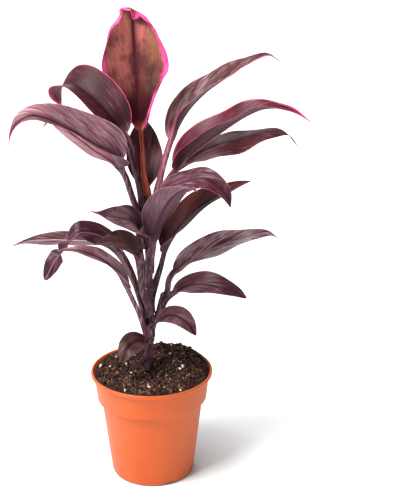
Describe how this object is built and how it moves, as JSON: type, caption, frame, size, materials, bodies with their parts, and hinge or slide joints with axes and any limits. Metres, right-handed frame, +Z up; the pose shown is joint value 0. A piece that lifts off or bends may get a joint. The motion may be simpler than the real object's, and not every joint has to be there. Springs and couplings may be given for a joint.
{
  "type": "potted ti plant",
  "caption": "Potted ti plant with strap-shaped purple-bronze leaves edged in pink, clasping a slim cane that stands in soil in a round tapered plastic nursery pot.",
  "frame": {"origin": "middle of the pot's flat underside", "axes": "+Z up, -Y towards the viewer of the front, +X to that viewer's right"},
  "size_m": [0.2851, 0.1614, 0.4572],
  "materials": {
    "pot_plastic": "satin orange-brown moulded plastic",
    "soil": "dark crumbly peat potting soil",
    "stem": "dull purple-brown cane with leaf scars",
    "leaf_bronze": "waxy red-bronze leaf with pink margins",
    "leaf_purple": "waxy dark purple leaf with thin pink margins",
    "leaf_mauve": "waxy mauve leaf with pink margins",
    "leaf_olive": "waxy purple leaf with an olive cast and pink midrib"
  },
  "bodies": {
    "root": {"pot": "pot_plastic", "soil": "soil", "stem": "stem", "leaf_crown": "leaf_bronze", "leaf_back": "leaf_purple", "leaf_upper_left": "leaf_purple", "leaf_left_long": "leaf_mauve", "leaf_left_under": "leaf_purple", "leaf_upper_right": "leaf_olive", "leaf_right_long": "leaf_olive", "leaf_right_back": "leaf_olive", "leaf_right_drooping": "leaf_mauve", "leaf_front": "leaf_mauve", "leaf_right_dark": "leaf_purple", "leaf_left_pink_tip": "leaf_purple", "leaf_low_left_front": "leaf_mauve", "leaf_low_left_arched": "leaf_purple", "leaf_low_left_back": "leaf_purple", "leaf_low_left_near": "leaf_purple", "leaf_low_right_long": "leaf_mauve", "leaf_low_right_short": "leaf_purple", "leaf_small_right": "leaf_purple", "leaf_small_left": "leaf_mauve"}
  },
  "joints": []
}
